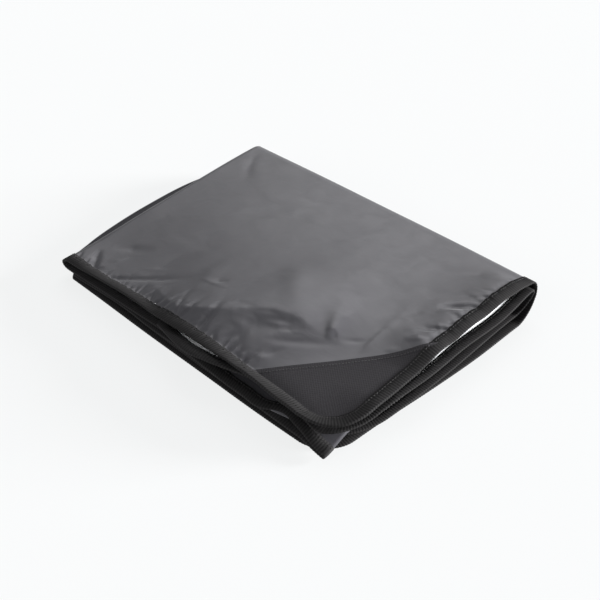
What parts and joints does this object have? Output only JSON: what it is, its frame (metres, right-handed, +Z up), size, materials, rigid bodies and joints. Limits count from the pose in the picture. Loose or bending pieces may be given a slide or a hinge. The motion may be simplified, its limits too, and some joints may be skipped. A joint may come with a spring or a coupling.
{
  "type": "drum set cover",
  "caption": "Cloth drum set cover folded flat into a soft bundle, with ribbed binding tape round its hems and a heavier woven patch over its front corner.",
  "frame": {"origin": "middle of the underside of the folded bundle's box", "axes": "+X along the longer side towards the side with the bound hems, +Y from the front hems towards the turned back, +Z up"},
  "size_m": [0.3954, 0.2696, 0.0408],
  "materials": {
    "coated_cloth": "satin",
    "ribbed_tape": "matt, ribbed",
    "heavy_weave": "matt, fine grid weave"
  },
  "bodies": {
    "root": {"cover_sheet": "coated_cloth", "hem_binding": "ribbed_tape", "corner_patch": "heavy_weave"}
  },
  "joints": []
}
